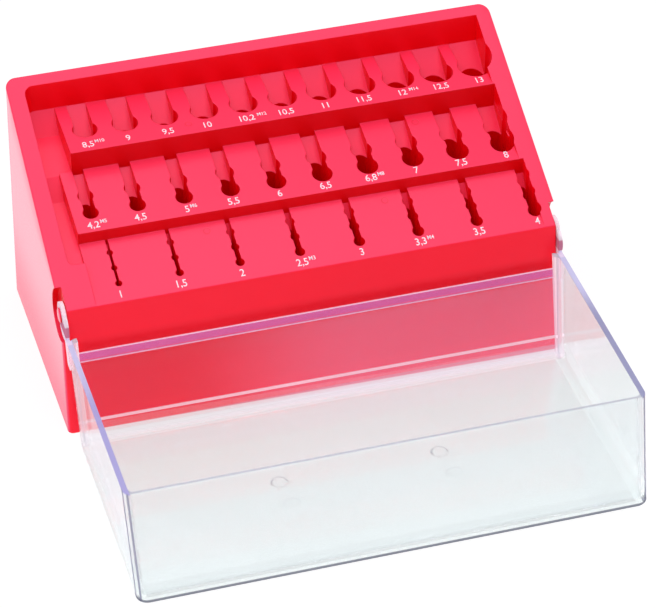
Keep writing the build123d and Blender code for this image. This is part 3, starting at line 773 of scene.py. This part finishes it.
def text_mesh(text, height, settings):
    """Flat mesh of a short text, starting at zero, with its baseline at zero."""
    curve = bpy.data.curves.new("text", "FONT")
    curve.body = text
    curve.size = height / CAPITAL_SHARE
    curve.align_x = "LEFT"
    curve.extrude = TEXT_THICKNESS
    curve.offset = settings.boldness
    curve.resolution_u = TEXT_RESOLUTION
    holder = bpy.data.objects.new("text", curve)
    bpy.context.scene.collection.objects.link(holder)
    bpy.context.view_layer.update()
    mesh = bpy.data.meshes.new_from_object(holder)
    bpy.data.objects.remove(holder)
    bpy.data.curves.remove(curve)
    mesh.transform(Matrix.Diagonal((settings.width_share, 1.0, 1.0, 1.0)))
    return mesh


def size_meshes(size, settings):
    """Mesh of one printed size, centred on zero, and of the thread size beside it where it has one."""
    main = text_mesh(size, settings.height, settings)
    across = [vertex.co.x for vertex in main.vertices]
    middle = (max(across) + min(across)) / 2
    main.transform(Matrix.Translation((-middle, -settings.height / 2, 0.0)))
    if size not in THREAD_SIZES:
        return [main]
    thread = text_mesh(THREAD_SIZES[size], settings.height * THREAD_TEXT_SHARE, settings)
    thread.transform(Matrix.Translation((middle + settings.height * THREAD_TEXT_GAP,
                                         settings.height * THREAD_TEXT_RISE, 0.0)))
    return [main, thread]


def row_mesh(row, settings):
    """One mesh of a row's printed sizes, lying on its tread."""
    slope = math.atan2(row.back_z - row.front_z, row.front - row.back)
    share = (row.distance - row.back) / (row.front - row.back)
    height = row.back_z + share * (row.front_z - row.back_z)
    lift = Vector((0.0, -math.sin(slope), math.cos(slope))) * TEXT_LIFT
    whole = bmesh.new()
    for index, size in enumerate(row.sizes):
        place = Vector((row.first_x + index * row.pitch, BACK_EDGE_Y - row.distance, height)) + lift
        turn = Matrix.Translation(place) @ Matrix.Rotation(slope, 4, "X")
        for part in size_meshes(size, settings):
            part.transform(turn)
            whole.from_mesh(part)
            bpy.data.meshes.remove(part)
    mesh = bpy.data.meshes.new(row.name)
    whole.to_mesh(mesh)
    whole.free()
    return mesh


class DRILLCASE_OT_housing(bpy.types.Operator):
    """Joins the moulded housing and its racks into one piece of glossy red plastic"""
    bl_idname = "drillcase.housing"
    bl_label = "Red housing"

    def execute(self, context):
        plastic = plastic_material("red_plastic", context.scene.drill_case_housing, EJECTOR_MARKS)
        mesh = union_mesh(HOUSING_NODES, "housing_moulding")
        piece = new_piece("housing_moulding", mesh, plastic, "housing")
        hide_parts(*HOUSING_NODES)
        return {"FINISHED"}


class DRILLCASE_OT_lid(bpy.types.Operator):
    """Gives the lid its clear plastic"""
    bl_idname = "drillcase.lid"
    bl_label = "Clear lid"

    def execute(self, context):
        dress_node("lid", clear_material(context.scene.drill_case_lid))
        return {"FINISHED"}


class DRILLCASE_OT_pins(bpy.types.Operator):
    """Turns the two hinge pins with low domed heads"""
    bl_idname = "drillcase.pins"
    bl_label = "Hinge pins"

    def execute(self, context):
        plastic = plastic_material("pin_plastic", context.scene.drill_case_housing)
        for name, side in (("right", 1), ("left", -1)):
            piece = new_piece("pin_" + name, pin_mesh("pin_" + name, side), plastic, "housing")
            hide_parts("hinge_pin_" + name)
        return {"FINISHED"}


class DRILLCASE_OT_sizes(bpy.types.Operator):
    """Prints the drill size in front of each socket"""
    bl_idname = "drillcase.sizes"
    bl_label = "Printed sizes"

    def execute(self, context):
        paint = print_material()
        for row in PRINTED_ROWS:
            new_piece(row.name, row_mesh(row, context.scene.drill_case_print), paint, "housing")
        return {"FINISHED"}


class DRILLCASE_OT_stage(bpy.types.Operator):
    """Sets the floor, the lights and the camera"""
    bl_idname = "drillcase.stage"
    bl_label = "Stage"

    def execute(self, context):
        settings = context.scene.drill_case_stage
        scene = context.scene
        scene.view_settings.view_transform = "Standard"
        self.add_floor(scene, settings.floor_glow)
        self.add_world(scene, settings.world_strength)
        self.add_light("key", *KEY_LIGHT, settings.key_power)
        self.add_light("fill", *FILL_LIGHT, settings.fill_power)
        self.add_camera(scene)
        return {"FINISHED"}

    @staticmethod
    def add_floor(scene, glow_strength):
        sheet = bmesh.new()
        bmesh.ops.create_grid(sheet, x_segments=1, y_segments=1, size=FLOOR_SIZE)
        bmesh.ops.translate(sheet, vec=(0.0, 0.0, -FLOOR_DROP), verts=sheet.verts)
        mesh = bpy.data.meshes.new("floor")
        sheet.to_mesh(mesh)
        sheet.free()
        floor = bpy.data.objects.new("floor", mesh)
        scene.collection.objects.link(floor)
        mesh.materials.append(floor_material(glow_strength))

    @staticmethod
    def add_world(scene, strength):
        world = bpy.data.worlds.new("studio")
        world.use_nodes = True
        background = world.node_tree.nodes["Background"]
        background.inputs["Color"].default_value = (*ROOM_COLOUR, 1.0)
        background.inputs["Strength"].default_value = strength
        scene.world = world

    @staticmethod
    def add_light(name, place, size, power):
        lamp = bpy.data.lights.new(name, "AREA")
        lamp.shape = "SQUARE"
        lamp.size = size
        lamp.energy = power
        holder = bpy.data.objects.new(name, lamp)
        holder.location = place
        aim = Vector(LIGHT_TARGET) - Vector(place)
        holder.rotation_euler = aim.to_track_quat("-Z", "Y").to_euler()
        bpy.context.scene.collection.objects.link(holder)

    @staticmethod
    def add_camera(scene):
        lens = bpy.data.cameras.new("camera")
        lens.sensor_width = CAMERA_SENSOR
        lens.lens = CAMERA_LENS
        lens.clip_start = CAMERA_NEAR
        lens.clip_end = CAMERA_FAR
        camera = bpy.data.objects.new("camera", lens)
        turn = (Matrix.Rotation(math.radians(CAMERA_HEADING), 4, "Z")
                @ Matrix.Rotation(math.radians(90 - CAMERA_DOWN), 4, "X")
                @ Matrix.Rotation(math.radians(CAMERA_ROLL), 4, "Z"))
        camera.matrix_world = Matrix.Translation(CAMERA_PLACE) @ turn
        scene.collection.objects.link(camera)
        scene.camera = camera


class DRILLCASE_PT_sidebar(bpy.types.Panel):
    """Lists the steps that dress the drill bit case"""
    bl_idname = "DRILLCASE_PT_sidebar"
    bl_label = "Drill bit case"
    bl_space_type = "VIEW_3D"
    bl_region_type = "UI"
    bl_category = "Drill case"

    def draw(self, context):
        for operator in OPERATORS:
            self.layout.operator(operator.bl_idname)


OPERATORS = (DRILLCASE_OT_housing, DRILLCASE_OT_lid, DRILLCASE_OT_pins, DRILLCASE_OT_sizes,
             DRILLCASE_OT_stage)
SETTINGS = {
    "drill_case_housing": HousingSettings,
    "drill_case_lid": LidSettings,
    "drill_case_print": PrintSettings,
    "drill_case_stage": StageSettings,
}


def register():
    for group in SETTINGS.values():
        bpy.utils.register_class(group)
    for operator in OPERATORS:
        bpy.utils.register_class(operator)
    bpy.utils.register_class(DRILLCASE_PT_sidebar)
    for name, group in SETTINGS.items():
        setattr(bpy.types.Scene, name, PointerProperty(type=group))


def unregister():
    for name in SETTINGS:
        delattr(bpy.types.Scene, name)
    bpy.utils.unregister_class(DRILLCASE_PT_sidebar)
    for operator in reversed(OPERATORS):
        bpy.utils.unregister_class(operator)
    for group in reversed(SETTINGS.values()):
        bpy.utils.unregister_class(group)


def main():
    register()
    bpy.ops.drillcase.housing()
    bpy.ops.drillcase.lid()
    bpy.ops.drillcase.pins()
    bpy.ops.drillcase.sizes()
    bpy.ops.drillcase.stage()
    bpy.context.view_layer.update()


if __name__ == "__main__":
    main()
